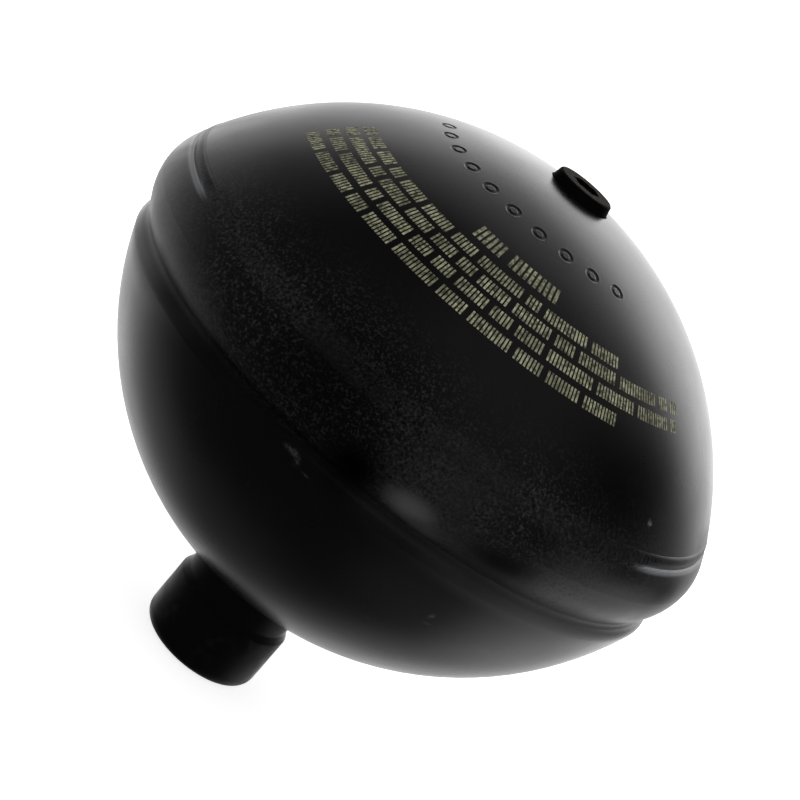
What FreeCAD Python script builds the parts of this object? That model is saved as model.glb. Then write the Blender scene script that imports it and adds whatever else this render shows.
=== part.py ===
"""Diaphragm accumulator of about half a litre: two pressed steel half shells, welded at the belt, with a
rubber diaphragm clamped between them, a screw plug at the gas pole and a threaded port at the fluid pole.

Millimetres. The origin is the centre of the port's end face and +Z runs along the axis to the gas plug.
Heights called drops are measured down from the centre of the lower bowl.
"""

import FreeCAD, Part
import math
import os
import re
import Sketcher

SIZES = [
    ("lowerRadius", 60.0, "outer radius of the lower bowl"),
    ("neckLength", 18.2, "height of the bowl's outer pole above the port's end face"),
    ("domeHeight", 31.75, "height of the upper dome's pole above its rim"),
    ("wall", 3.5, "wall of both pressed shells"),
    ("beltTuck", 0.85, "how far the belt at its widest stays inside the bowl's radius"),
    ("beltDrop", 7.4, "level where the belt is widest"),
    ("valleyDepth", 3.45, "depth of the rolled valley under the belt"),
    ("valleyDrop", 15.6, "level of the valley's bottom"),
    ("flankHeight", 1.3, "height of the valley's lower flank"),
    ("valleyRound", 0.9, "rounding in the valley's bottom"),
    ("flankRound", 2.0, "rounding where the flank runs into the bowl"),
    ("lipStep", 1.55, "how far the lip on top of the belt lies inside the belt"),
    ("lipEdge", 0.7, "rounded edge of that lip"),
    ("seamDrop", 1.5, "level of the lower shell's top face, under the weld"),
    ("seamWidth", 2.1, "height of the weld between the two shells"),
    ("seamStep", 0.3, "how far the weld's lower edge lies inside the lip's rounded edge"),
    ("seamTuck", 0.3, "how far the weld's upper edge lies inside the upper shell's rim"),
    ("beadCrown", 0.3, "height of the weld's crown over its edges"),
    ("rimStep", 1.46, "how far the upper shell's rim lies inside the lip"),
    ("rimEdge", 0.4, "broken edge of the upper shell's rim"),
    ("lipDepth", 1.9, "depth of the lip's bore, where the clamp ring is pressed in"),
    ("recessHeight", 7.0, "height of the recess inside the belt"),
    ("rubberGap", 0.1, "free space between rubber and steel"),
    ("rubber", 2.4, "thickness of the diaphragm"),
    ("hubSkirt", 3.5, "how far the diaphragm's thick middle reaches beyond the button"),
    ("hubThickness", 3.0, "rubber over the button"),
    ("rubberRound", 1.5, "rounded corners of the moulded hub"),
    ("beadRound", 0.6, "rounded corners of the rim bead"),
    ("ringRise", 0.3, "how far the clamp ring's top stands over the upper shell's rim"),
    ("ringGap", 0.28, "free space between the clamp ring and the dome's inner face"),
    ("ringStep", 1.0, "how far the clamp ring's leg lies inside its flange"),
    ("legWall", 1.6, "thickness of that leg"),
    ("legLength", 8.6, "length of that leg under the lip's bore"),
    ("buttonStep", 1.0, "how far the metal button's rim lies inside the port's inner seat"),
    ("buttonThickness", 1.8, "thickness of the button"),
    ("seatRise", 0.3, "height of the port's inner seat over the bowl's inner pole"),
    ("passageRadius", 3.0, "oil passage"),
    ("spigotRadius", 8.5, "spigot of the port boss in the lower shell"),
    ("spigotGap", 0.05, "free space round that spigot"),
    ("waistRadius", 11.0, "radius of the neck beside the shell"),
    ("collarStep", 0.85, "how far the neck's collar stands out over the waist"),
    ("collarHeight", 12.1, "height of the collar over the end face"),
    ("waistTaper", 1.2, "height of the taper from collar to waist"),
    ("collarEdge", 2.6, "rounded edge of the collar at the end face"),
    ("threadRadius", 6.2, "wall of the tapped port, M14 x 1.5"),
    ("threadDepth", 13.0, "depth of the tapped port"),
    ("mouthChamfer", 0.8, "chamfer at the mouth of the port"),
    ("portWeldLeg", 0.8, "leg of the fillet weld round the neck"),
    ("spotRadius", 6.1, "spot face under the plug's head"),
    ("spotDepth", 0.5, "depth of the spot face under the pole"),
    ("sealStep", 0.7, "how far the seal ring's counterbore lies inside the spot face"),
    ("sealThickness", 0.9, "thickness of the seal ring"),
    ("sealGap", 0.1, "free space round the seal ring"),
    ("shankRadius", 3.95, "radius of the plug's shank, M8"),
    ("shankGap", 0.1, "free space round the shank"),
    ("shankShort", 0.5, "how far the shank stops inside the insert's lower end"),
    ("shankTip", 0.8, "chamfer at the shank's tip"),
    ("headGap", 0.15, "free space round the plug's head in the spot face"),
    ("headTaper", 0.4, "how far the head narrows to its top"),
    ("plugProud", 1.7, "height of the plug over the dome's pole"),
    ("plugEdge", 0.25, "chamfer on the plug's head"),
    ("socketFlats", 5.0, "hexagon socket, across its flats"),
    ("socketDepth", 2.6, "depth of the socket"),
    ("gasBossRadius", 9.0, "radius of the threaded insert inside the dome"),
    ("gasBossLength", 8.0, "length of the insert under the dome's inner pole"),
    ("gasWeldLeg", 2.0, "leg of the fillet weld round the insert"),
]

SAME_PLACE = 1e-4

doc = FreeCAD.newDocument("Accumulator")
sheet = doc.addObject("Spreadsheet::Sheet", "Sizes")
for row, (alias, size, note) in enumerate(SIZES, start=1):
    sheet.set(f"A{row}", alias)
    sheet.set(f"B{row}", str(size))
    sheet.setAlias(f"B{row}", alias)
    sheet.set(f"C{row}", note)
doc.recompute()

ALIAS = re.compile(r"\b(" + "|".join(alias for alias, size, note in SIZES) + r")\b")


def bind(formula):
    """A formula in the sheet's aliases, as an expression of the document."""
    return ALIAS.sub(r"Sizes.\1", formula)


def measure(formula):
    """The formula's value in millimetres, for placing geometry before the constraints take over."""
    found = sheet.evalExpression(bind(formula))
    return float(getattr(found, "Value", found))


def below(drop):
    """A height given as a drop under the centre of the lower bowl."""
    return f"neckLength + lowerRadius - ({drop})"


BELT_RADIUS = "lowerRadius - beltTuck"
VALLEY_RADIUS = f"{BELT_RADIUS} - valleyDepth"
LIP_RADIUS = f"{BELT_RADIUS} - lipStep"
LIP_TOP = below("seamDrop")
RIM_RADIUS = f"{LIP_RADIUS} - rimStep"
RIM_DROP = "seamDrop - seamWidth"
DOME_RADIUS = f"((({RIM_RADIUS})^2 + domeHeight^2) / (2 * domeHeight))"
DOME_DROP = f"({RIM_DROP} + {DOME_RADIUS} - domeHeight)"
INNER_BOWL = "lowerRadius - wall"
INNER_DOME = f"{DOME_RADIUS} - wall"
RUBBER_BOWL = f"{INNER_BOWL} - rubberGap"
RING_DROP = f"({RIM_DROP} - ringRise)"
RECESS_DROP = "seamDrop + lipDepth"
RECESS_RADIUS = f"{BELT_RADIUS} - wall"


def bowl_height(radius, shell="lowerRadius"):
    """Height of the lower bowl's sphere at a distance from the axis."""
    return below(f"sqrt(({shell})^2 - ({radius})^2)")


def bowl_width(drop, shell="lowerRadius"):
    """Distance from the axis of the lower bowl's sphere at a drop."""
    return f"sqrt(({shell})^2 - ({drop})^2)"


def dome_height(radius, shell=DOME_RADIUS):
    """Height of the upper dome's sphere at a distance from the axis."""
    return f"{below(DOME_DROP)} + sqrt(({shell})^2 - ({radius})^2)"


def dome_width(drop, shell=DOME_RADIUS):
    """Distance from the axis of the upper dome's sphere at a drop."""
    return f"sqrt(({shell})^2 - ({DOME_DROP} - ({drop}))^2)"


LIP_BORE = f"{dome_width(RING_DROP, INNER_DOME)} - ringGap"
LEG_RADIUS = f"{LIP_BORE} - ringStep"


def tangent_radius(across, along):
    """Radius of an arc that leaves a point straight up and ends so far across and along."""
    return f"((({across})^2 + ({along})^2) / (2 * ({across})))"


def origin_plane(body, role):
    return next(plane for plane in body.Origin.OriginFeatures if plane.Role == role)


def place(sketch, edge, end, formula, kind, axis):
    """Holds one end of an edge at a distance from the sketch's root point, or on an axis."""
    if formula == "0":
        sketch.addConstraint(Sketcher.Constraint("PointOnObject", edge, end, axis))
        return
    number = sketch.addConstraint(Sketcher.Constraint(kind, -1, 1, edge, end, measure(formula)))
    sketch.setExpression(f"Constraints[{number}]", bind(formula))


def arc_between(start, end, radius, side):
    """The short arc of a radius from start to end that bulges to a side of the way from one to the other."""
    way = end - start
    middle = (start + end) * 0.5
    left = FreeCAD.Vector(-way.y, way.x, 0).normalize()
    toward = left if side == "right" else left * -1
    centre = middle + toward * math.sqrt(radius ** 2 - (way.Length / 2) ** 2)
    first, last = (start, end) if side == "right" else (end, start)
    angles = [math.atan2(point.y - centre.y, point.x - centre.x) for point in (first, last)]
    circle = Part.Circle(centre, FreeCAD.Vector(0, 0, 1), radius)
    return Part.ArcOfCircle(circle, angles[0], angles[1])


def half_section(node, corners):
    """A body turned about the Z axis from one closed outline of corners.

    Each corner is (distance from the axis, height) and may go on with (radius, side), which makes the edge
    to the next corner an arc that bulges to that side.
    """
    body = doc.addObject("PartDesign::Body", node + "_body")
    body.Label = node
    sketch = body.newObject("Sketcher::SketchObject", node + "_outline")
    sketch.AttachmentSupport = [(origin_plane(body, "XZ_Plane"), "")]
    sketch.MapMode = "FlatFace"
    points = [FreeCAD.Vector(measure(corner[0]), measure(corner[1]), 0) for corner in corners]
    edges = []
    for number, corner in enumerate(corners):
        start, end = points[number], points[(number + 1) % len(points)]
        if len(corner) == 2:
            edges.append((sketch.addGeometry(Part.LineSegment(start, end)), 1, 2))
            continue
        arc = arc_between(start, end, measure(corner[2]), corner[3])
        edge = sketch.addGeometry(arc)
        edges.append((edge, 1, 2) if corner[3] == "right" else (edge, 2, 1))
        held = sketch.addConstraint(Sketcher.Constraint("Radius", edge, measure(corner[2])))
        sketch.setExpression(f"Constraints[{held}]", bind(corner[2]))
    for number, corner in enumerate(corners):
        edge, start, end = edges[number]
        following = edges[(number + 1) % len(edges)]
        sketch.addConstraint(Sketcher.Constraint("Coincident", edge, end, following[0], following[1]))
        place(sketch, edge, start, corner[0], "DistanceX", -2)
        place(sketch, edge, start, corner[1], "DistanceY", -1)
    turned = body.newObject("PartDesign::Revolution", node + "_turned")
    turned.Profile = sketch
    turned.ReferenceAxis = (sketch, ["V_Axis"])
    turned.Angle = 360
    return body


def round_edges(body, radius, places):
    """Rounds the body's circular edges at the given (distance from the axis, height) places."""
    doc.recompute()
    base = body.Tip
    wanted = [FreeCAD.Vector(measure(across), measure(height), 0) for across, height in places]
    names = []
    for number, edge in enumerate(base.Shape.Edges, start=1):
        if not isinstance(edge.Curve, Part.Circle):
            continue
        corner = FreeCAD.Vector(edge.Curve.Radius, edge.Curve.Center.z, 0)
        if any(corner.isEqual(spot, SAME_PLACE) for spot in wanted):
            names.append(f"Edge{number}")
    rounded = body.newObject("PartDesign::Fillet", f"{body.Label}_{radius}")
    rounded.Base = (base, names)
    rounded.setExpression("Radius", bind(radius))


SEAT = "neckLength + wall + seatRise"
BUTTON_RADIUS = "(spigotRadius - buttonStep)"
SPOT = f"{dome_height('0')} - spotDepth"
SEAL_BORE = "spotRadius - sealStep"
PLUG_HOLE = "shankRadius + shankGap"
INSERT_FOOT = f"{dome_height('0', INNER_DOME)} - gasBossLength"


def make_lower_shell():
    """Pressed bowl: its rim swells into the belt over a rolled valley, and holds the rim bead inside."""
    belt_rise = tangent_radius("valleyDepth", "valleyDrop - beltDrop")
    belt_fall = tangent_radius("lipStep", "beltDrop - seamDrop - lipEdge")
    hole = "spigotRadius + spigotGap"
    flank = "valleyDrop + flankHeight"
    inner_flank = "valleyDrop + flankHeight + wall / 2"
    body = half_section("lower_shell", [
        (hole, bowl_height(hole), "lowerRadius", "right"),
        (bowl_width(flank), below(flank)),
        (VALLEY_RADIUS, below("valleyDrop"), belt_rise, "right"),
        (BELT_RADIUS, below("beltDrop"), belt_fall, "right"),
        (LIP_RADIUS, below("seamDrop + lipEdge"), "lipEdge", "right"),
        (f"{LIP_RADIUS} - lipEdge", LIP_TOP),
        (LIP_BORE, LIP_TOP),
        (LIP_BORE, below(RECESS_DROP)),
        (RECESS_RADIUS, below(RECESS_DROP)),
        (RECESS_RADIUS, below(f"{RECESS_DROP} + recessHeight")),
        (f"{VALLEY_RADIUS} - wall", below("valleyDrop")),
        (bowl_width(inner_flank, INNER_BOWL), below(inner_flank), INNER_BOWL, "left"),
        (hole, bowl_height(hole, INNER_BOWL)),
    ])
    round_edges(body, "flankRound", [(bowl_width(flank), below(flank))])
    round_edges(body, "valleyRound", [(VALLEY_RADIUS, below("valleyDrop"))])
    return body


def make_upper_shell():
    """Pressed dome, flatter than the bowl, spot-faced and bored at the pole for the plug."""
    return half_section("upper_shell", [
        (dome_width(RIM_DROP, INNER_DOME), below(RIM_DROP)),
        (f"{dome_width(RIM_DROP)} - rimEdge", below(RIM_DROP)),
        (dome_width(f"{RIM_DROP} - rimEdge"), below(f"{RIM_DROP} - rimEdge"), DOME_RADIUS, "right"),
        ("spotRadius", dome_height("spotRadius")),
        ("spotRadius", SPOT),
        (SEAL_BORE, SPOT),
        (SEAL_BORE, f"{SPOT} - sealThickness"),
        (PLUG_HOLE, f"{SPOT} - sealThickness"),
        (PLUG_HOLE, dome_height(PLUG_HOLE, INNER_DOME), INNER_DOME, "left"),
    ])


def make_seam_weld():
    """The bead that fills the groove between the shells, slightly crowned, from the lip in to the dome."""
    low_edge = f"{LIP_RADIUS} - lipEdge - seamStep"
    high_edge = f"{RIM_RADIUS} - rimEdge - seamTuck"
    lean = "rimStep + rimEdge + seamTuck - lipEdge - seamStep"
    crown = f"((seamWidth^2 + ({lean})^2) / 4 + beadCrown^2) / (2 * beadCrown)"
    return half_section("seam_weld", [
        (LIP_BORE, LIP_TOP),
        (low_edge, LIP_TOP, crown, "right"),
        (high_edge, below(RIM_DROP)),
        (LIP_BORE, below(RIM_DROP)),
    ])


def make_clamp_ring():
    """Pressed into the lip's bore, it backs the weld root, and its leg holds the bead in the recess."""
    foot = below(f"{RECESS_DROP} + legLength")
    return half_section("clamp_ring", [
        (LIP_BORE, below(RING_DROP)),
        (f"{LEG_RADIUS} - legWall", below(RING_DROP)),
        (f"{LEG_RADIUS} - legWall", foot),
        (LEG_RADIUS, foot),
        (LEG_RADIUS, below(RECESS_DROP)),
        (LIP_BORE, below(RECESS_DROP)),
    ])


def make_diaphragm():
    """Moulded rubber: a rim bead that fills the recess, a bowl lining the lower shell and a thick hub."""
    flank = "valleyDrop + flankHeight + wall / 2"
    inner_bowl = f"{RUBBER_BOWL} - rubber"
    inner_flank = f"{flank} + rubber / 2"
    hub_top = f"{SEAT} + buttonThickness + hubThickness"
    hub_side = f"{BUTTON_RADIUS} + rubber / 2"
    hub_edge = f"{BUTTON_RADIUS} + hubSkirt"
    hub_foot = bowl_height(hub_edge, inner_bowl)
    body = half_section("diaphragm", [
        (LEG_RADIUS, below(RECESS_DROP)),
        (LEG_RADIUS, below(f"{RECESS_DROP} + legLength")),
        (bowl_width(inner_flank, inner_bowl), below(inner_flank), inner_bowl, "left"),
        (hub_edge, hub_foot),
        (hub_side, hub_top),
        ("0", hub_top),
        ("0", f"{SEAT} + buttonThickness"),
        (BUTTON_RADIUS, f"{SEAT} + buttonThickness"),
        (BUTTON_RADIUS, bowl_height(BUTTON_RADIUS, RUBBER_BOWL), RUBBER_BOWL, "right"),
        (bowl_width(flank, RUBBER_BOWL), below(flank)),
        (f"{VALLEY_RADIUS} - wall - rubberGap", below("valleyDrop")),
        (f"{RECESS_RADIUS} - rubberGap", below(f"{RECESS_DROP} + recessHeight")),
        (f"{RECESS_RADIUS} - rubberGap", below(RECESS_DROP)),
    ])
    round_edges(body, "rubberRound", [(hub_side, hub_top), (hub_edge, hub_foot)])
    round_edges(body, "beadRound", [(f"{RECESS_RADIUS} - rubberGap", below(RECESS_DROP))])
    return body


def make_diaphragm_button():
    """Metal disc in the diaphragm's middle, sitting on the port's inner seat over the oil passage."""
    return half_section("diaphragm_button", [
        ("0", SEAT),
        (BUTTON_RADIUS, SEAT),
        (BUTTON_RADIUS, f"{SEAT} + buttonThickness"),
        ("0", f"{SEAT} + buttonThickness"),
    ])


def make_port_boss():
    """Turned neck: a spigot through the bowl, a waist, a collar with a rounded end, and the tapped port."""
    collar = "waistRadius + collarStep"
    drill_point = "threadDepth + (threadRadius - passageRadius) / sqrt(3)"
    return half_section("port_boss", [
        ("passageRadius", SEAT),
        ("passageRadius", drill_point),
        ("threadRadius", "threadDepth"),
        ("threadRadius", "mouthChamfer"),
        ("threadRadius + mouthChamfer", "0"),
        (f"{collar} - collarEdge", "0", "collarEdge", "right"),
        (collar, "collarEdge"),
        (collar, "collarHeight"),
        ("waistRadius", "collarHeight + waistTaper"),
        ("waistRadius", bowl_height("waistRadius"), "lowerRadius", "left"),
        ("spigotRadius", bowl_height("spigotRadius")),
        ("spigotRadius", SEAT),
    ])


def make_port_weld():
    """Small fillet weld in the corner between the neck's waist and the bowl."""
    toe = "waistRadius + portWeldLeg"
    return half_section("port_weld", [
        ("waistRadius", f"{bowl_height('waistRadius')} - portWeldLeg"),
        (toe, bowl_height(toe), "lowerRadius", "left"),
        ("waistRadius", bowl_height("waistRadius")),
    ])


def make_gas_boss():
    """Threaded insert welded inside the dome, which the plug screws into."""
    return half_section("gas_boss", [
        (PLUG_HOLE, INSERT_FOOT),
        ("gasBossRadius", INSERT_FOOT),
        ("gasBossRadius", dome_height("gasBossRadius", INNER_DOME), INNER_DOME, "right"),
        (PLUG_HOLE, dome_height(PLUG_HOLE, INNER_DOME)),
    ])


def make_gas_boss_weld():
    """Fillet weld in the corner between the insert and the dome's inner face."""
    toe = "gasBossRadius + gasWeldLeg"
    return half_section("gas_boss_weld", [
        ("gasBossRadius", f"{dome_height('gasBossRadius', INNER_DOME)} - gasWeldLeg"),
        (toe, dome_height(toe, INNER_DOME), INNER_DOME, "right"),
        ("gasBossRadius", dome_height("gasBossRadius", INNER_DOME)),
    ])


def make_plug_seal():
    """Seal ring in its counterbore under the plug's head."""
    return half_section("plug_seal", [
        (PLUG_HOLE, f"{SPOT} - sealThickness"),
        (f"{SEAL_BORE} - sealGap", f"{SPOT} - sealThickness"),
        (f"{SEAL_BORE} - sealGap", SPOT),
        (PLUG_HOLE, SPOT),
    ])


def make_gas_plug():
    """Screw plug with a low tapered head, a shank and a hexagon socket."""
    head_top = f"{dome_height('0')} + plugProud"
    head_foot = "spotRadius - headGap"
    head_edge = f"{head_foot} - headTaper"
    shank_foot = f"{INSERT_FOOT} + shankShort"
    body = half_section("gas_plug", [
        ("0", shank_foot),
        ("shankRadius - shankTip", shank_foot),
        ("shankRadius", f"{shank_foot} + shankTip"),
        ("shankRadius", SPOT),
        (head_foot, SPOT),
        (head_edge, f"{head_top} - plugEdge"),
        (f"{head_edge} - plugEdge", head_top),
        ("0", head_top),
    ])
    doc.recompute()
    hexagon = body.newObject("Sketcher::SketchObject", "gas_plug_hexagon")
    hexagon.AttachmentSupport = [(origin_plane(body, "XY_Plane"), "")]
    hexagon.MapMode = "FlatFace"
    hexagon.setExpression("AttachmentOffset.Base.z", bind(head_top))
    corner = measure("socketFlats / sqrt(3)")
    points = [FreeCAD.Vector(corner, 0, 0)]
    turn = FreeCAD.Rotation(FreeCAD.Vector(0, 0, 1), 60)
    for side in range(5):
        points.append(turn.multVec(points[-1]))
    sides = [hexagon.addGeometry(Part.LineSegment(points[i], points[(i + 1) % 6])) for i in range(6)]
    circle = Part.Circle(FreeCAD.Vector(0, 0, 0), FreeCAD.Vector(0, 0, 1), corner)
    ring = hexagon.addGeometry(circle, True)
    hexagon.addConstraint(Sketcher.Constraint("Coincident", ring, 3, -1, 1))
    for i in range(6):
        hexagon.addConstraint(Sketcher.Constraint("Coincident", sides[i], 2, sides[(i + 1) % 6], 1))
        hexagon.addConstraint(Sketcher.Constraint("PointOnObject", sides[i], 1, ring))
    for i in range(5):
        hexagon.addConstraint(Sketcher.Constraint("Equal", sides[i], sides[i + 1]))
    hexagon.addConstraint(Sketcher.Constraint("PointOnObject", sides[0], 1, -1))
    held = hexagon.addConstraint(Sketcher.Constraint("Radius", ring, corner))
    hexagon.setExpression(f"Constraints[{held}]", bind("socketFlats / sqrt(3)"))
    socket = body.newObject("PartDesign::Pocket", "gas_plug_socket")
    socket.Profile = hexagon
    socket.setExpression("Length", bind("socketDepth"))
    return body


nodes = [
    make_lower_shell(),
    make_upper_shell(),
    make_seam_weld(),
    make_clamp_ring(),
    make_diaphragm(),
    make_diaphragm_button(),
    make_port_boss(),
    make_port_weld(),
    make_gas_boss(),
    make_gas_boss_weld(),
    make_plug_seal(),
    make_gas_plug(),
]
doc.recompute()

for item in doc.Objects:
    if "Invalid" in item.State or "Error" in item.State:
        raise RuntimeError(f"{item.Label} failed: {item.State}")
for node in nodes:
    if node.Shape.isNull() or not node.Shape.isValid():
        raise RuntimeError(f"{node.Label} has no valid shape")

os.makedirs("parts", exist_ok=True)
for node in nodes:
    node.Shape.exportStep(f"parts/{node.Label}.step")
    print(f"{node.Label:18s} {node.Shape.Volume / 1000:9.3f} cm3  {len(node.Shape.Solids)} solid")
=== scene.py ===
"""Looks of the diaphragm accumulator: black paint, weld bead, stamped marks, printed rows and port thread.

Lengths in the geometry are millimetres until mesh_piece() turns them into the metres of the frame.
"""

import math
import random

import bpy
import numpy as np
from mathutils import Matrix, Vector


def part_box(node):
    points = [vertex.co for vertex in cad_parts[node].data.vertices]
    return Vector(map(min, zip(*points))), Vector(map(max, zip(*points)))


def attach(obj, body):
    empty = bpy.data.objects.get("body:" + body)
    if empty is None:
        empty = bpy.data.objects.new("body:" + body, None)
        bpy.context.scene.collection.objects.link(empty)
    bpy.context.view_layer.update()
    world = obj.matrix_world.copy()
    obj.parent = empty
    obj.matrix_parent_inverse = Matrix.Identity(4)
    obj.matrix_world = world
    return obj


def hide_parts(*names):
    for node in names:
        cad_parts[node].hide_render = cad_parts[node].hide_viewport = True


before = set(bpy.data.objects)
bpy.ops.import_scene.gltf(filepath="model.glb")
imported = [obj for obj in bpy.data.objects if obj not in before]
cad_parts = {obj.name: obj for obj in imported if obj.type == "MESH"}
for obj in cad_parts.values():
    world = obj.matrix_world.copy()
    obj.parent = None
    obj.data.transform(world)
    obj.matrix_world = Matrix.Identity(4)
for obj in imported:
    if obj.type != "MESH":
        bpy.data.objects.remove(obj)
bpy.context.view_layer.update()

MM = 0.001

# Heights, radii and edges of the part in millimetres, read from the frame where a node's box gives them
CAD = {name: [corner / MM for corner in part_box(name)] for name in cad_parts}
RIM_HEIGHT = CAD["upper_shell"][0].z
LIP_HEIGHT = CAD["seam_weld"][0].z
SPOT_HEIGHT = CAD["plug_seal"][1].z
PLUG_TOP = CAD["gas_plug"][1].z
BOWL_CENTRE = Vector((0, 0, 78.2))
DOME_CENTRE = 45.05
DOME_RADIUS = 65.5
WALL = 3.5
RIM_EDGE = 0.06
BELT_RADIUS = 58.6
BOWL_RADIUS = 60.0
VALLEY_HEIGHT = 62.6
LIP_EDGE = 75.9
SPOT_RADIUS = 6.1
SEAL_RADIUS = 5.4
SEAL_STEP = 0.9
PLUG_HOLE = 4.05


def linear(level):
    """Linear value of an sRGB level from 0 to 255."""
    share = level / 255
    return share / 12.92 if share <= 0.04045 else ((share + 0.055) / 1.055) ** 2.4


def colour(red, green, blue):
    return (linear(red), linear(green), linear(blue), 1)


def grey(level):
    return colour(level, level, level)


class Nodes:
    """A material's or world's node tree, with short calls for the nodes that the finishes use."""

    def __init__(self, owner):
        owner.use_nodes = True
        self.tree = owner.node_tree
        self.tree.nodes.clear()

    def add(self, kind, inputs=(), **settings):
        node = self.tree.nodes.new(kind)
        for name, value in settings.items():
            setattr(node, name, value)
        for key, value in dict(inputs).items():
            self.set(node.inputs[key], value)
        return node

    def set(self, socket, value):
        if isinstance(value, bpy.types.NodeSocket):
            self.tree.links.new(value, socket)
        else:
            socket.default_value = value

    def math(self, operation, *values):
        node = self.add("ShaderNodeMath", operation=operation)
        for socket, value in zip(node.inputs, values):
            self.set(socket, value)
        return node.outputs[0]

    def vector(self, operation, *values, result=0):
        node = self.add("ShaderNodeVectorMath", operation=operation)
        for socket, value in zip(node.inputs, values):
            self.set(socket, value)
        return node.outputs[result]

    def ramp(self, value, low, high, start=0.0, end=1.0):
        """Value between low and high, eased to run from start to end."""
        node = self.add("ShaderNodeMapRange", interpolation_type="SMOOTHSTEP")
        keys = ("Value", "From Min", "From Max", "To Min", "To Max")
        for key, given in zip(keys, (value, low, high, start, end)):
            self.set(node.inputs[key], given)
        return node.outputs[0]

    def band(self, value, start, full, last, gone):
        """1 where the value lies between full and last, eased down to 0 at start and at gone."""
        return self.math("MULTIPLY", self.ramp(value, start, full), self.ramp(value, gone, last))

    def mix(self, share, first, second):
        """A colour that goes from the first to the second with the share."""
        node = self.add("ShaderNodeMix", data_type="RGBA")
        self.set(node.inputs[0], share)
        self.set(node.inputs[6], first)
        self.set(node.inputs[7], second)
        return node.outputs[2]

    def blend(self, share, first, second):
        """A number that goes from the first to the second with the share."""
        node = self.add("ShaderNodeMix", data_type="FLOAT")
        for socket, value in zip(node.inputs[0:1] + node.inputs[2:4], (share, first, second)):
            self.set(socket, value)
        return node.outputs[0]

    def noise(self, place, size, detail=2.0, roughness=0.5):
        """Noise with grains of about the given size in millimetres."""
        node = self.add("ShaderNodeTexNoise", {"Vector": place, "Scale": 1 / (size * MM), "Detail": detail,
                                               "Roughness": roughness})
        return node.outputs["Fac"]

    def rings(self, place, size, distortion, detail):
        """Bands across the axis, about a third of the given size in millimetres apart."""
        node = self.add("ShaderNodeTexWave", {"Vector": place, "Scale": 1 / (size * MM), "Detail": detail,
                                              "Distortion": distortion}, bands_direction="Z")
        return node.outputs["Fac"]

    def bump(self, height, depth, normal=None):
        """Bump of the given depth in millimetres."""
        node = self.add("ShaderNodeBump", {"Height": height, "Strength": 1.0, "Distance": depth * MM})
        if normal is not None:
            self.set(node.inputs["Normal"], normal)
        return node.outputs["Normal"]


def principled(nodes, base, roughness, normal=None, **more):
    inputs = {"Base Color": base, "Roughness": roughness}
    if normal is not None:
        inputs["Normal"] = normal
    for name, value in more.items():
        inputs[name.replace("_", " ")] = value
    shader = nodes.add("ShaderNodeBsdfPrincipled", inputs)
    nodes.add("ShaderNodeOutputMaterial", {"Surface": shader.outputs[0]})


def finish_nodes(name):
    """A new material, its node tree and the point on the object."""
    material = bpy.data.materials.new(name)
    nodes = Nodes(material)
    return material, nodes, nodes.add("ShaderNodeTexCoord").outputs["Object"]


def height_and_front(nodes, place):
    """The height in millimetres, and how far to the front a point lies: 1 at the belt's foremost point."""
    apart = nodes.add("ShaderNodeSeparateXYZ", {"Vector": place})
    front = nodes.math("MULTIPLY", apart.outputs["Y"], -1 / (BELT_RADIUS * MM))
    return nodes.math("DIVIDE", apart.outputs["Z"], MM), front


# Painted light on the belt and in the valley, paler patches that stand in for reflections:
# (degrees from the front, height, reach along and reach up in millimetres, grey level)
PAINTED_LIGHT_PATCHES = [
    (13.0, 70.0, 20.0, 13.0, 27),
    (42.0, 71.5, 14.0, 8.0, 34),
    (42.0, 67.0, 10.0, 5.5, 44),
    (27.0, 61.6, 15.0, 4.2, 30),
    (46.0, 61.6, 20.0, 5.0, 60),
    (60.0, 61.4, 20.0, 5.4, 72),
    (-40.0, 66.0, 14.0, 7.0, 34),
    (-62.0, 62.2, 20.0, 5.0, 74),
]

# The same five numbers, for painted highlights over the grain
PAINTED_HIGHLIGHTS = [
    (11.0, 66.6, 6.6, 3.8, 60),
    (15.0, 64.6, 5.0, 2.0, 40),
]

# The same again, with a strength in place of the grey level, for painted shade: dark places without gloss
PAINTED_SHADE_SPOTS = [
    (0.5, 65.9, 7.6, 7.6, 1.0),
    (28.5, 67.2, 11.0, 4.2, 0.8),
    (66.0, 72.8, 13.0, 6.0, 0.9),
    (-8.0, 74.0, 22.0, 18.0, 0.5),
    (46.0, 86.0, 24.0, 13.0, 0.65),
]

# Scuffs, with the same five numbers as the painted light patches, broken up by a fine noise
SCUFFS = [
    (-8.2, 61.0, 2.4, 0.8, 46),
    (-6.6, 60.0, 0.9, 1.2, 36),
    (-4.2, 59.4, 1.8, 0.3, 38),
    (53.2, 82.7, 0.9, 0.9, 90),
    (28.2, 51.7, 0.8, 1.6, 52),
    (28.9, 50.0, 1.4, 0.6, 44),
    (-13.5, 63.5, 0.5, 5.0, 34),
    (-11.5, 64.6, 0.4, 4.4, 30),
]

# Where the valley is matt: the same four numbers as the painted light patches, without a grey level
MATT_SPOTS = [
    (42.0, 61.8, 34.0, 5.5),
    (-56.0, 61.8, 26.0, 5.0),
]

# Bands of height in millimetres: start, full, last full and gone
GRAIN_BAND = (61.0, 66.0, 78.0, 92.0)
SEAM_BAND = (LIP_EDGE - 0.6, LIP_EDGE + 0.2, RIM_HEIGHT + 0.3, RIM_HEIGHT + 1.6)
LIP_HIGHLIGHT_BAND = (LIP_EDGE - 0.3, LIP_EDGE + 0.2, LIP_HEIGHT, LIP_HEIGHT + 0.2)
BEAD_BAND = (LIP_HEIGHT + 0.1, LIP_HEIGHT + 0.4, RIM_HEIGHT - 0.5, RIM_HEIGHT - 0.1)

# Shares of the way to the front: where the seam turns to its look in front, painted lighter over the groove's
# shade, and the band of the sides that has the lip's painted highlight
SEAM_FRONT = (0.54, 0.6)
LIP_HIGHLIGHT_SIDES = (-0.4, -0.1, 0.52, 0.62)

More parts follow.
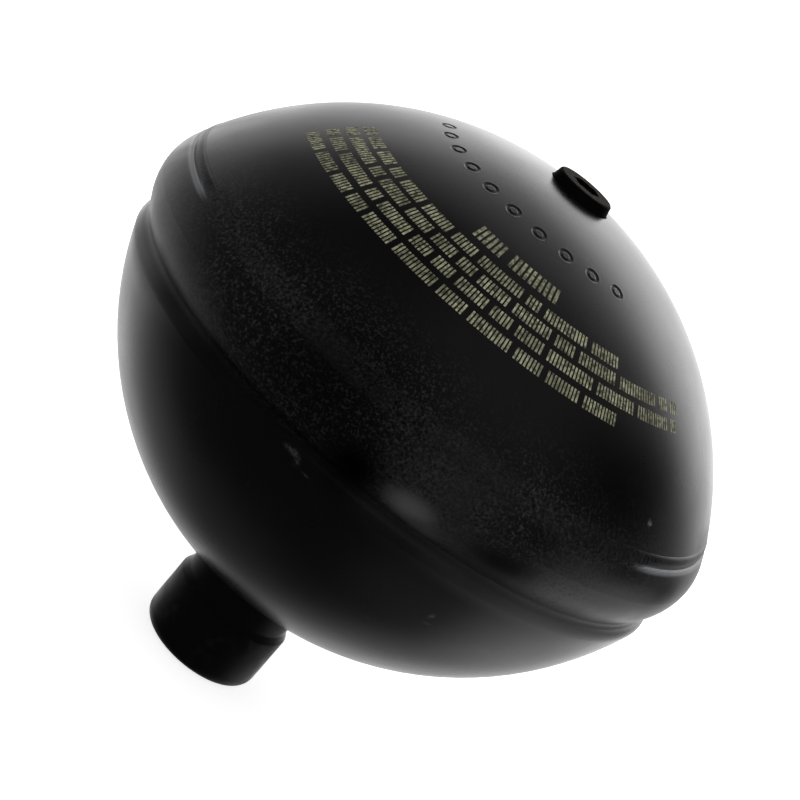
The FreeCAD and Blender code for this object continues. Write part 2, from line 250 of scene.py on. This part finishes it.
# The paint's gloss: plain, on the seam in front, on the weld at the sides and in the painted shade
PAINT_GLOSS = 0.5
SEAM_GLOSS = 0.2
BEAD_GLOSS = 0.12
PAINTED_SHADE_GLOSS = 0.02

# The paint's roughness, plain and in the matt places, what the grain adds to it, and relief in millimetres
PAINT_ROUGH = (0.25, 0.31)
MATT_ROUGH = 0.55
GRAIN_ROUGH = 0.12
PEEL_DEPTH = 0.006
GRAIN_DEPTH = 0.02

PAINT_TONE = colour(5, 5, 5)
HANDLED_TONE = colour(12, 11, 11)
# Painted fill light for the seam's groove in front
SEAM_PAINTED_LIGHT_TONE = colour(23, 22, 22)
SPECK_TONE = colour(42, 39, 39)
# Painted highlight on the lip's edge
LIP_PAINTED_HIGHLIGHT_TONE = colour(80, 81, 83)
# Painted shade
PAINTED_SHADE_TONE = colour(1, 1, 1)


def outer_radius(height):
    """Radius of the outer face at a height: the bowl under the valley, the belt, or the dome over the rim."""
    if height < VALLEY_HEIGHT:
        return math.sqrt(BOWL_RADIUS ** 2 - (BOWL_CENTRE.z - height) ** 2)
    if height > RIM_HEIGHT:
        return math.sqrt(DOME_RADIUS ** 2 - (height - DOME_CENTRE) ** 2)
    return BELT_RADIUS


def soft_spot(nodes, place, azimuth, height, along, up):
    """Share from 0 to 1 that falls off with the distance from a place on the outer face."""
    around = math.radians(azimuth)
    radius = outer_radius(height)
    centre = Vector((radius * math.sin(around), -radius * math.cos(around), height)) * MM
    apart = nodes.vector("SUBTRACT", place, tuple(centre))
    turned = nodes.add("ShaderNodeVectorRotate", {"Vector": apart, "Angle": -around}, rotation_type="Z_AXIS")
    shares = tuple(1 / (reach * MM) for reach in (along, along, up))
    scaled = nodes.vector("MULTIPLY", turned.outputs[0], shares)
    return nodes.ramp(nodes.vector("LENGTH", scaled, result="Value"), 0.1, 1.0, 1.0, 0.0)


def black_paint():
    """Semi-gloss black paint on pressed steel: orange peel, faint handling marks, a grainy belt, and painted
    light, highlights and shade on the belt and valley.
    """
    material, nodes, place = finish_nodes("black_paint")
    height, ahead = height_and_front(nodes, place)

    # Plain paint with handling marks
    cloud = nodes.noise(place, 26.0, 4.0, 0.6)
    streaks = nodes.noise(nodes.vector("MULTIPLY", place, (1.0, 1.0, 5.0)), 9.0, 5.0, 0.7)
    handled = nodes.math("MULTIPLY", nodes.ramp(streaks, 0.5, 0.8), nodes.ramp(cloud, 0.4, 0.7))
    base = nodes.mix(handled, PAINT_TONE, HANDLED_TONE)
    rough = nodes.ramp(cloud, 0.3, 0.7, *PAINT_ROUGH)
    normal = nodes.bump(nodes.noise(place, 1.4), PEEL_DEPTH)

    # Painted light patches, the seam in front painted lighter over its groove's shade, and the matt places in
    # the valley
    for *where, level in PAINTED_LIGHT_PATCHES:
        base = nodes.mix(soft_spot(nodes, place, *where), base, grey(level))
    # In front the seam's groove is painted lighter, a painted fill over its shade, and is less glossy
    front = nodes.math("MULTIPLY", nodes.band(height, *SEAM_BAND), nodes.ramp(ahead, *SEAM_FRONT))
    base = nodes.mix(front, base, SEAM_PAINTED_LIGHT_TONE)
    gloss = nodes.blend(front, PAINT_GLOSS, SEAM_GLOSS)
    matt = nodes.math("MAXIMUM", *(soft_spot(nodes, place, *where) for where in MATT_SPOTS))
    rough = nodes.blend(matt, rough, MATT_ROUGH)

    # Grain of light specks and dark pores, patchy round the belt
    patchy = nodes.ramp(nodes.noise(place, 14.0, 3.0), 0.35, 0.6, 0.35, 1.0)
    grainy = nodes.math("MULTIPLY", nodes.band(height, *GRAIN_BAND), patchy)
    grain = nodes.noise(place, 0.5, 3.0, 0.7)
    specks = nodes.math("MULTIPLY", grainy, nodes.ramp(grain, 0.5, 0.66))
    pores = nodes.math("MULTIPLY", grainy, nodes.ramp(grain, 0.5, 0.36))
    base = nodes.mix(pores, nodes.mix(specks, base, SPECK_TONE), PAINT_TONE)
    rough = nodes.math("ADD", rough, nodes.math("MULTIPLY", grainy, GRAIN_ROUGH))
    normal = nodes.bump(nodes.math("MULTIPLY", grain, grainy), GRAIN_DEPTH, normal)

    # Painted highlights and painted shade over the grain
    for *where, level in PAINTED_HIGHLIGHTS:
        base = nodes.mix(soft_spot(nodes, place, *where), base, colour(level, level + 1, level))
    # Painted shade: each spot darkens the paint and takes away its gloss
    for *where, strength in PAINTED_SHADE_SPOTS:
        shade = nodes.math("MULTIPLY", soft_spot(nodes, place, *where), strength)
        base = nodes.mix(shade, base, PAINTED_SHADE_TONE)
        gloss = nodes.blend(shade, gloss, PAINTED_SHADE_GLOSS)

    # A painted highlight on the lip's edge at the sides, and the duller weld beside it everywhere but in
    # front
    side = nodes.math("MULTIPLY", nodes.band(height, *LIP_HIGHLIGHT_BAND), nodes.band(ahead, *LIP_HIGHLIGHT_SIDES))
    base = nodes.mix(side, base, LIP_PAINTED_HIGHLIGHT_TONE)
    bead = nodes.math("MULTIPLY", nodes.band(height, *BEAD_BAND), nodes.ramp(ahead, *reversed(SEAM_FRONT)))
    gloss = nodes.blend(bead, gloss, BEAD_GLOSS)

    # Scuffs over all of it
    broken = nodes.ramp(nodes.noise(place, 0.6, 3.0, 0.7), 0.42, 0.58)
    for *where, level in SCUFFS:
        share = nodes.math("MULTIPLY", soft_spot(nodes, place, *where), broken)
        base = nodes.mix(share, base, grey(level))
    principled(nodes, base, rough, normal, Specular_IOR_Level=gloss)
    return material


def pit_paint():
    """Dull paint that has filled the stamped marks."""
    material, nodes, place = finish_nodes("pit_paint")
    base = nodes.mix(nodes.noise(place, 0.7, 3.0), grey(10), colour(34, 33, 32))
    principled(nodes, base, 0.45, Specular_IOR_Level=0.25)
    return material


def neck_paint():
    """Duller black on the turned neck, with the lathe's fine rings and a few rubbed places."""
    material, nodes, place = finish_nodes("neck_paint")
    rubbed = nodes.ramp(nodes.noise(place, 5.0, 5.0, 0.7), 0.55, 0.75)
    base = nodes.mix(rubbed, grey(9), grey(23))
    rough = nodes.ramp(nodes.noise(place, 3.0), 0.3, 0.7, 0.36, 0.48)
    rings = nodes.rings(place, 2.2, distortion=0.6, detail=1.0)
    normal = nodes.bump(rings, 0.006, nodes.bump(nodes.noise(place, 0.7), 0.006))
    principled(nodes, base, rough, normal, Specular_IOR_Level=0.15)
    return material


def plug_finish():
    """Black oxide on the screw plug, duller in its pores and browner on its upper face."""
    material, nodes, place = finish_nodes("plug_black")
    height = height_and_front(nodes, place)[0]
    pores = nodes.noise(place, 0.6, 4.0, 0.65)
    base = nodes.mix(pores, grey(3), colour(9, 8, 7))
    base = nodes.mix(nodes.ramp(height, PLUG_TOP - 0.2, PLUG_TOP), base, colour(24, 20, 17))
    rough = nodes.ramp(pores, 0.3, 0.7, 0.6, 0.75)
    principled(nodes, base, rough, nodes.bump(pores, 0.02), Specular_IOR_Level=0.02)
    return material


def rubber(name, level):
    """Moulded rubber of a grey level, with a fine paler bloom."""
    material, nodes, place = finish_nodes(name)
    bloom = nodes.noise(place, 2.5, 5.0, 0.7)
    base = nodes.mix(bloom, grey(level), colour(level + 22, level + 21, level + 19))
    rough = nodes.ramp(bloom, 0.3, 0.7, 0.55, 0.75)
    principled(nodes, base, rough, nodes.bump(nodes.noise(place, 0.3), 0.01))
    return material


def bare_metal(name, tone, roughness):
    """Machined metal with fine rings round the axis and darker stains."""
    material, nodes, place = finish_nodes(name)
    stain = nodes.noise(place, 6.0, 4.0, 0.6)
    base = nodes.mix(stain, tone, tuple(0.7 * part for part in tone[:3]) + (1,))
    rough = nodes.ramp(stain, 0.3, 0.7, roughness, roughness + 0.15)
    rings = nodes.rings(place, 1.6, distortion=0.8, detail=2.0)
    principled(nodes, base, rough, nodes.bump(rings, 0.008), Metallic=1.0)
    return material


def print_ink():
    """Khaki grey ink, thin enough in places for the black to show."""
    material, nodes, place = finish_nodes("print_ink")
    thin = nodes.ramp(nodes.noise(place, 0.8, 4.0, 0.7), 0.35, 0.62)
    patch = nodes.ramp(nodes.noise(place, 7.0, 3.0), 0.35, 0.65, 0.45, 1.0)
    base = nodes.mix(nodes.math("MULTIPLY", thin, patch), colour(52, 53, 39), colour(148, 148, 121))
    principled(nodes, base, 0.55, nodes.bump(thin, 0.01), Specular_IOR_Level=0.3)
    return material


def mesh_piece(name, places, faces, material, sharp=32.0):
    """A smooth mesh piece that rides on the part. Places are in millimetres."""
    mesh = bpy.data.meshes.new(name)
    mesh.from_pydata((np.asarray(places) * MM).tolist(), [], faces)
    mesh.validate()
    mesh.shade_smooth()
    mesh.set_sharp_from_angle(angle=math.radians(sharp))
    mesh.materials.append(material)
    piece = bpy.data.objects.new(name, mesh)
    bpy.context.scene.collection.objects.link(piece)
    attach(piece, "root")
    return piece


def turned_faces(columns, rows):
    """Faces of a closed outline of rows turned through closed columns."""
    faces = []
    for column in range(columns):
        here, there = column * rows, (column + 1) % columns * rows
        for row in range(rows):
            above = (row + 1) % rows
            faces.append((here + row, there + row, there + above, here + above))
    return faces


def turned_piece(name, outline, angles, material, push=None, sharp=32.0):
    """A closed outline of (radius, height), going up outside, turned about Z at angles from the front.

    push(radius, height, angle) may move the surface: it returns the changes of radius and of height.
    """
    outline = np.asarray(outline, float)
    angle, radius = np.meshgrid(angles, outline[:, 0], indexing="ij")
    height = np.broadcast_to(outline[:, 1], radius.shape)
    if push is not None:
        out, up = push(radius, height, angle)
        radius, height = radius + out, height + up
    places = np.stack([radius * np.sin(angle), -radius * np.cos(angle), height], -1).reshape(-1, 3)
    return mesh_piece(name, places, turned_faces(len(angles), len(outline)), material, sharp)


def dome_point(polar, radius=DOME_RADIUS):
    """(radius, height) on a sphere about the dome's centre, at an angle from the pole."""
    return radius * math.sin(polar), DOME_CENTRE + radius * math.cos(polar)


def polar_at_height(height, radius=DOME_RADIUS):
    return math.acos((height - DOME_CENTRE) / radius)


def polar_at_radius(across, radius=DOME_RADIUS):
    return math.asin(across / radius)


# Stamped marks: a row of plain round rings pressed into the dome, on one circle round the plug
STAMP_POLAR = math.radians(22.4)
STAMP_STEP = math.radians(12.95)
STAMP_FIRST = math.radians(-80.0)
STAMPS = 10

# A mark in millimetres: radius of the ring, reach of all that belongs to it, half width and depth of the
# stroke, height of the burr and grid of the mesh, and the fine mesh's margin beside the row in radians
STAMP_RING = 1.05
STAMP_REACH = 2.2
STAMP_STROKE = 0.3
STAMP_DEPTH = 0.15
STAMP_BURR = 0.012
STAMP_GRID = 0.115
STAMP_MARGIN = 0.08

# Profile of a stroke, in half widths from its middle line: the pit's end, and the burr's place and width
PIT_END = 1.35
BURR_PLACE = 1.7
BURR_WIDTH = 0.45

# Steps of the dome's mesh in degrees: down its outer and inner face, round the marks and round the rest
OUTER_STEP = 0.9
INNER_STEP = 2.4
MARKED_STEP = 0.3
ROUND_STEP = 2.0


def stamp_pits(radius, height, angle):
    """How far each point of the dome's outer face lies in a stamped mark, and on its burr, from 0 to 1."""
    pits, burrs = np.zeros_like(radius), np.zeros_like(radius)
    rise = height - DOME_CENTRE
    outer = np.abs(np.hypot(radius, rise) - DOME_RADIUS) < 0.01
    along = (STAMP_POLAR - np.arctan2(radius, rise)) * DOME_RADIUS
    for number in range(STAMPS):
        turn = angle - (STAMP_FIRST + number * STAMP_STEP)
        turn = (turn + math.pi) % (2 * math.pi) - math.pi
        across = turn * DOME_RADIUS * math.sin(STAMP_POLAR)
        near = outer & (np.hypot(across, along) < STAMP_REACH)
        gone = np.abs(np.hypot(across[near], along[near]) - STAMP_RING) / STAMP_STROKE
        pit = np.clip(PIT_END - gone, 0, 1)
        pits[near] = pit * pit * (3 - 2 * pit)
        burrs[near] = np.exp(-((gone - BURR_PLACE) / BURR_WIDTH) ** 2)
    return pits, burrs


def stamp_push(radius, height, angle):
    """Moves the dome's outer face in under each stamped mark, with a low burr beside it."""
    pits, burrs = stamp_pits(radius, height, angle)
    sink = burrs * STAMP_BURR - pits * STAMP_DEPTH
    reach = np.hypot(radius, height - DOME_CENTRE)
    return sink * radius / reach, sink * (height - DOME_CENTRE) / reach


def spread(low, high, step):
    """Evenly spaced values from low up to high, both included, about a step apart."""
    return list(np.linspace(low, high, max(2, int(round((high - low) / step)) + 1)))


def make_dome(material, pit_material):
    """The upper shell: outer face with the stamped marks, spot face and seal bore, and the inner face."""
    rim = polar_at_height(RIM_HEIGHT + RIM_EDGE)
    spot = polar_at_radius(SPOT_RADIUS)
    band = [STAMP_POLAR - STAMP_REACH / DOME_RADIUS, STAMP_POLAR + STAMP_REACH / DOME_RADIUS]
    fine, coarse = STAMP_GRID / DOME_RADIUS, math.radians(OUTER_STEP)
    outer = spread(spot, band[0], coarse) + spread(*band, fine)[1:] + spread(band[1], rim, coarse)[1:]
    inner = spread(polar_at_radius(PLUG_HOLE, DOME_RADIUS - WALL),
                   polar_at_height(RIM_HEIGHT, DOME_RADIUS - WALL), math.radians(INNER_STEP))
    rim_out = dome_point(polar_at_height(RIM_HEIGHT))[0]
    outline = [(rim_out - RIM_EDGE, RIM_HEIGHT)]
    outline += [dome_point(polar) for polar in reversed(outer)]
    outline += [(SPOT_RADIUS, SPOT_HEIGHT), (SEAL_RADIUS, SPOT_HEIGHT)]
    outline += [(SEAL_RADIUS, SPOT_HEIGHT - SEAL_STEP), (PLUG_HOLE, SPOT_HEIGHT - SEAL_STEP)]
    outline += [dome_point(polar, DOME_RADIUS - WALL) for polar in inner]
    marked = [STAMP_FIRST - STAMP_MARGIN, STAMP_FIRST + STAMP_STEP * (STAMPS - 1) + STAMP_MARGIN]
    angles = spread(*marked, math.radians(MARKED_STEP))
    angles += spread(marked[1], marked[0] + 2 * math.pi, math.radians(ROUND_STEP))[1:-1]
    piece = turned_piece("dome_painted", outline, angles, material, stamp_push)

    # A face takes the pits' paint where its four corners lie in a pit by more than half on average
    angle, radius = np.meshgrid(angles, np.asarray(outline)[:, 0], indexing="ij")
    height = np.broadcast_to(np.asarray(outline)[:, 1], radius.shape)
    pits = stamp_pits(radius, height, angle)[0].ravel()
    piece.data.materials.append(pit_material)
    for face in piece.data.polygons:
        if sum(pits[corner] for corner in face.vertices) > 2:
            face.material_index = 1
    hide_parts("upper_shell")


# Weld bead in the groove: radii of its lower and upper edge, its crown, its ripples and their bow, and the
# rows of its outer face and columns of each ripple
BEAD_LOW = 56.88
BEAD_HIGH = 56.06
BEAD_CROWN = 0.3
BEAD_RIPPLES = 310
BEAD_RIPPLE = 0.006
BEAD_BOW = 2.4
BEAD_ROWS = 13
RIPPLE_COLUMNS = 6
LIP_BORE = 51.54

# In front the lower edge is drawn out and sunk into the lip's rounding, and the crown is flatter
BEAD_FILL = 0.6
BEAD_SINK = 0.42
BEAD_FLAT = 0.18

# That change starts at this cosine of the angle from the front, and is full after this much more
BEAD_FRONT = 0.5
BEAD_FRONT_RUN = 0.14


def make_bead(material):
    """The seam weld, with the ripples that the arc leaves as the part turns under it."""
    tall, lean = RIM_HEIGHT - LIP_HEIGHT, BEAD_LOW - BEAD_HIGH
    side = math.hypot(tall, lean)
    outline = [(LIP_BORE, LIP_HEIGHT)]
    for share in np.linspace(0, 1, BEAD_ROWS):
        bulge = BEAD_CROWN * 4 * share * (1 - share)
        across = BEAD_LOW - share * lean + bulge * tall / side
        outline.append((across, LIP_HEIGHT + share * tall + bulge * lean / side))
    outline.append((LIP_BORE, RIM_HEIGHT))

    def ripple(radius, height, angle):
        share = np.clip((height - LIP_HEIGHT) / tall, 0, 1)
        crest = np.cos(angle * BEAD_RIPPLES + BEAD_BOW * (2 * share - 1) ** 2)
        wander = np.sin(angle * 7) + 0.8 * np.sin(angle * 17 + 1)
        lift = BEAD_RIPPLE * (crest + wander) * np.sqrt(4 * share * (1 - share))
        full = np.clip((np.cos(angle) - BEAD_FRONT) / BEAD_FRONT_RUN, 0, 1)
        full = full * full * (3 - 2 * full)
        lift = lift + full * (BEAD_FILL * (1 - share) ** 2 - BEAD_FLAT * 4 * share * (1 - share))
        outside = radius > BEAD_HIGH - 0.01
        return np.where(outside, lift, 0), np.where(outside, -full * BEAD_SINK * (1 - share) ** 4, 0)

    angles = np.linspace(0, 2 * math.pi, BEAD_RIPPLES * RIPPLE_COLUMNS, endpoint=False)
    piece = turned_piece("seam_bead", outline, angles, material, ripple, sharp=60.0)
    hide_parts("seam_weld")


# Port thread: pitch, radius of its crests, depth of the bore, and depth of the groove
THREAD_PITCH = 1.5
THREAD_MINOR = 6.2
THREAD_DEPTH = 13.0
THREAD_HEIGHT = 0.75

# The groove's edge from its middle and the run of its flank, as shares of half a pitch
GROOVE_EDGE = 0.86
GROOVE_FLANK = 0.72

# Heights of the thread's first and last turn, and the lengths over which it fades at either end
THREAD_RUN = (0.9, 11.6)
THREAD_FADE = (0.6, 1.0)

# Radii, heights and edges of the neck, its columns all round and the rows in a turn of the thread
MOUTH = 0.8
COLLAR = 11.85
COLLAR_EDGE = 2.6
COLLAR_HEIGHT = 12.1
WAIST = 11.0
WAIST_TAPER = 1.2
PASSAGE = 3.0
SPIGOT = 8.5
NECK_COLUMNS = 180
THREAD_ROWS = 14


def make_neck(material):
    """The turned neck: rounded collar, waist and spigot outside, tapped port and oil passage inside."""
    seat = CAD["port_boss"][1].z
    outline = [(PASSAGE, seat), (PASSAGE, THREAD_DEPTH + (THREAD_MINOR - PASSAGE) / math.sqrt(3))]
    rows = spread(MOUTH, THREAD_DEPTH, THREAD_PITCH / THREAD_ROWS)
    outline += [(THREAD_MINOR, height) for height in reversed(rows)]
    outline += [(THREAD_MINOR + MOUTH, 0)]
    for angle in np.linspace(math.pi / 2, 0, 13):
        across = COLLAR - COLLAR_EDGE + COLLAR_EDGE * math.cos(angle)
        outline.append((across, COLLAR_EDGE - COLLAR_EDGE * math.sin(angle)))

    # The corners above the collar and at the waist are broken a little
    taper_end = COLLAR_HEIGHT + WAIST_TAPER
    outline += [(COLLAR, COLLAR_HEIGHT - 0.25), (COLLAR - 0.1, COLLAR_HEIGHT - 0.02)]
    outline += [(WAIST + 0.08, taper_end - 0.1), (WAIST, taper_end + 0.15)]
    for across in (WAIST, SPIGOT):
        outline.append((across, BOWL_CENTRE.z - math.sqrt(BOWL_RADIUS ** 2 - across ** 2)))
    outline += [(SPIGOT, seat)]

    def thread(radius, height, angle):
        inside = (np.abs(radius - THREAD_MINOR) < 0.01) & (height > MOUTH - 0.01)
        turn = height / THREAD_PITCH - angle / (2 * math.pi)
        tooth = np.abs(turn - np.round(turn)) * 2
        groove = np.clip((GROOVE_EDGE - tooth) / GROOVE_FLANK, 0, 1)
        first, last = THREAD_RUN
        run_in, run_out = THREAD_FADE
        fade = np.clip((height - first + run_in) / run_in, 0, 1) * np.clip((last - height) / run_out, 0, 1)
        return np.where(inside, groove * fade * THREAD_HEIGHT, 0), np.zeros_like(radius)

    angles = np.linspace(0, 2 * math.pi, NECK_COLUMNS, endpoint=False)
    piece = turned_piece("neck_turned", outline, angles, material, thread, sharp=28.0)
    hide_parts("port_boss")


# Printed rows: groups of plain upright ticks, as on a scale, in five arcs on the dome
# (degrees from the pole, first and last degrees from the front, height of the ticks in millimetres)
PRINT_ROWS = [
    (43.3, -64.0, 38.0, 2.2),
    (40.3, -64.5, 60.5, 2.2),
    (37.5, -65.0, 62.0, 2.2),
    (34.8, -65.0, 36.0, 2.2),
    (31.0, -14.5, 16.5, 3.2),
]

# How far the ink stands out of the dome and reaches into it, and the seed of the groups' lengths
INK = 0.03
INK_ROOT = 0.01
PRINT_SEED = 41

# Width and pitch of the ticks and the gap between groups, as shares of the row's height
TICK_WIDE = 0.18
TICK_PITCH = 0.31
GROUP_GAP = 0.42


def print_ticks():
    """Yields (polar, angle, width, height) of each tick: even ticks in groups, with a gap between groups."""
    draw = random.Random(PRINT_SEED)
    for polar, first, last, tall in PRINT_ROWS:
        polar = math.radians(polar)
        around = DOME_RADIUS * math.sin(polar)
        place, end = math.radians(first) * around, math.radians(last) * around
        in_group = draw.randint(4, 12)
        while place < end:
            yield polar, place / around, TICK_WIDE * tall, tall
            place += TICK_PITCH * tall
            in_group -= 1
            if in_group == 0:
                place += GROUP_GAP * tall
                in_group = draw.randint(4, 14)


def make_print(material):
    """Ticks of ink lying on the dome, each a thin curved plate."""
    places, faces = [], []
    for polar, angle, wide, tall in print_ticks():
        start = len(places)
        across = np.linspace(-0.5, 0.5, 2) * wide / (DOME_RADIUS * math.sin(polar))
        along = np.linspace(-0.5, 0.5, 4) * tall / DOME_RADIUS
        for level in (INK, -INK_ROOT):
            for turn in angle + across:
                for down in polar - along:
                    radius, height = dome_point(down, DOME_RADIUS + level)
                    places.append((radius * math.sin(turn), -radius * math.cos(turn), height))
        side, layer = len(along), 2 * len(along)
        for row in range(side - 1):
            top, low = start + row, start + layer + row
            faces.append((top, top + side, top + side + 1, top + 1))
            faces.append((low, low + 1, low + side + 1, low + side))
        edge = list(range(side)) + [side + row for row in reversed(range(side))]
        for here, there in zip(edge, edge[1:] + edge[:1]):
            faces.append((start + there, start + there + layer, start + here + layer, start + here))
    mesh_piece("print_rows", places, faces, material)


# The floor's size and depth under the part in metres, its white, and the light that the camera alone adds
FLOOR_SIZE = 12
FLOOR_DEPTH = 0.00002
FLOOR_WHITE = 0.82
FLOOR_LIFT = 0.75


def make_floor():
    """White floor that keeps the shadow, clear from below, out of the paint's reflections."""
    bpy.ops.mesh.primitive_plane_add(size=FLOOR_SIZE)
    floor = bpy.context.object
    floor.name = "floor"
    floor.location.z = -FLOOR_DEPTH
    material = bpy.data.materials.new("floor_white")
    nodes = Nodes(material)
    rays = nodes.add("ShaderNodeLightPath")
    under = nodes.add("ShaderNodeNewGeometry").outputs["Backfacing"]
    white = nodes.add("ShaderNodeBsdfDiffuse", {"Color": (FLOOR_WHITE, FLOOR_WHITE, FLOOR_WHITE, 1)})
    level = nodes.math("MULTIPLY", rays.outputs["Is Camera Ray"], FLOOR_LIFT)
    lift = nodes.add("ShaderNodeEmission", {"Color": (1, 1, 1, 1), "Strength": level})
    both = nodes.add("ShaderNodeAddShader", {0: white.outputs[0], 1: lift.outputs[0]})
    clear = nodes.add("ShaderNodeBsdfTransparent")
    seen = nodes.add("ShaderNodeMixShader", {0: under, 1: both.outputs[0], 2: clear.outputs[0]})
    nodes.add("ShaderNodeOutputMaterial", {"Surface": seen.outputs[0]})
    floor.data.materials.append(material)
    floor.visible_glossy = False


# Directions of the photograph: into the picture, up without the roll, to the picture's right and down
ELEVATION = math.radians(16.54)
ROLL = math.radians(49.56)
LOOK = Vector((0, math.cos(ELEVATION), -math.sin(ELEVATION)))
UPWARD = Vector((0, math.sin(ELEVATION), math.cos(ELEVATION)))
RIGHT = Vector((math.sin(ROLL), 0, 0)) + UPWARD * math.cos(ROLL)
DOWN = LOOK.cross(RIGHT)


def toward(away, around):
    """Direction in degrees away from the photograph's view, and round it from the right by way of the top."""
    away, around = math.radians(away), math.radians(around)
    return LOOK * math.cos(away) + (RIGHT * math.cos(around) - DOWN * math.sin(around)) * math.sin(away)


# Light that the paint reflects, over a base: (away, around, full inside, gone beyond, strength), in degrees
GLOW_BASE = 0.03
GLOWS = [
    (0, 0, 3, 22, 0.45),
    (0, 0, 15, 45, 0.72),
    (35, 30, 10, 32, 0.94),
    (35, 90, 10, 32, 0.78),
    (35, 150, 10, 32, 0.62),
    (35, 270, 10, 32, 0.27),
    (26, 335, 10, 26, 0.52),
    (48, 30, 8, 26, 0.62),
    (48, 60, 8, 26, 0.25),
    (48, 180, 8, 26, 0.22),
    (48, 265, 8, 26, 0.05),
    (50, 12, 5, 20, 0.6),
    (51, 352, 4, 12, 0.28),
    (56, 214, 6, 24, 0.07),
    (62, 50, 10, 34, 0.45),
    (62, 90, 10, 34, 0.15),
    (62, 140, 10, 34, 0.3),
    (62, 300, 10, 34, 0.68),
    (74, 18, 6, 22, 0.15),
    (86, 265, 8, 26, 0.1),
    (118, 28, 8, 40, 0.1),
]

# The level of the world that lights matt surfaces
PLAIN = 0.75


def make_world():
    """White backdrop for the eye, a plain level for matt surfaces and a set of soft glows for the gloss."""
    world = bpy.data.worlds.new("studio")
    bpy.context.scene.world = world
    nodes = Nodes(world)
    rays = nodes.add("ShaderNodeLightPath")
    way = nodes.add("ShaderNodeTexCoord").outputs["Generated"]
    mirrored = GLOW_BASE
    for away, around, inside, beyond, strength in GLOWS:
        near = nodes.vector("DOT_PRODUCT", way, tuple(toward(away, around)), result="Value")
        glow = nodes.ramp(near, math.cos(math.radians(beyond)), math.cos(math.radians(inside)), 0.0, strength)
        mirrored = nodes.math("ADD", mirrored, glow)
    seen = nodes.math("MAXIMUM", rays.outputs["Is Camera Ray"], rays.outputs["Is Transmission Ray"])
    glossy = rays.outputs["Is Glossy Ray"]
    strength = nodes.blend(seen, nodes.blend(glossy, PLAIN, mirrored), 1.0)
    back = nodes.add("ShaderNodeBackground", {"Color": (1, 1, 1, 1), "Strength": strength})
    nodes.add("ShaderNodeOutputWorld", {"Surface": back.outputs[0]})


def make_lamp(name, place, size, power):
    """A soft square lamp that faces the middle of the part."""
    light = bpy.data.lights.new(name, "AREA")
    light.shape = "SQUARE"
    light.size = size
    light.energy = power
    lamp = bpy.data.objects.new(name, light)
    lamp.location = place
    lamp.rotation_euler = (BOWL_CENTRE * MM - lamp.location).to_track_quat("-Z", "Y").to_euler()
    lamp.visible_glossy = False
    bpy.context.scene.collection.objects.link(lamp)


# The photograph's camera: focal length and width of the frame in pixels, width of the sensor in millimetres,
# and where the bowl's centre lies from it in millimetres: to the right, down and away
FOCAL_PIXELS = 2280.0
FRAME_PIXELS = 800.0
SENSOR = 36.0
CENTRE_IN_VIEW = Vector((10.823, -11.656, 400.0))
CLIP_START = 0.01
CLIP_END = 50


def make_camera():
    """Looks down on the part by the elevation, rolled so that the axis leans to the upper right."""
    data = bpy.data.cameras.new("camera")
    data.sensor_width = SENSOR
    data.lens = SENSOR * FOCAL_PIXELS / FRAME_PIXELS
    data.clip_start = CLIP_START
    data.clip_end = CLIP_END
    camera = bpy.data.objects.new("camera", data)
    offset = RIGHT * CENTRE_IN_VIEW.x + DOWN * CENTRE_IN_VIEW.y + LOOK * CENTRE_IN_VIEW.z
    turn = camera.matrix_world.to_3x3()
    turn.col[0], turn.col[1], turn.col[2] = RIGHT, -DOWN, -LOOK
    camera.matrix_world = turn.to_4x4()
    camera.location = (BOWL_CENTRE - offset) * MM
    bpy.context.scene.collection.objects.link(camera)
    bpy.context.scene.camera = camera


paint = black_paint()
steel = bare_metal("bare_steel", colour(150, 152, 156), 0.32)
finishes = {
    "lower_shell": paint,
    "port_weld": paint,
    "gas_plug": plug_finish(),
    "clamp_ring": steel,
    "gas_boss": steel,
    "gas_boss_weld": steel,
    "diaphragm": rubber("diaphragm_rubber", 22),
    "plug_seal": rubber("seal_rubber", 14),
    "diaphragm_button": bare_metal("button_aluminium", colour(196, 198, 202), 0.28),
}
for node_name, finish in finishes.items():
    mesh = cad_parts[node_name].data
    mesh.materials.clear()
    mesh.materials.append(finish)

make_dome(paint, pit_paint())
make_bead(paint)
make_neck(neck_paint())
make_print(print_ink())

make_world()
make_floor()
make_lamp("key_above", Vector((0.15, -0.1, 0.85)), size=0.6, power=3.0)
make_camera()

scene = bpy.context.scene
scene.view_settings.view_transform = "Standard"
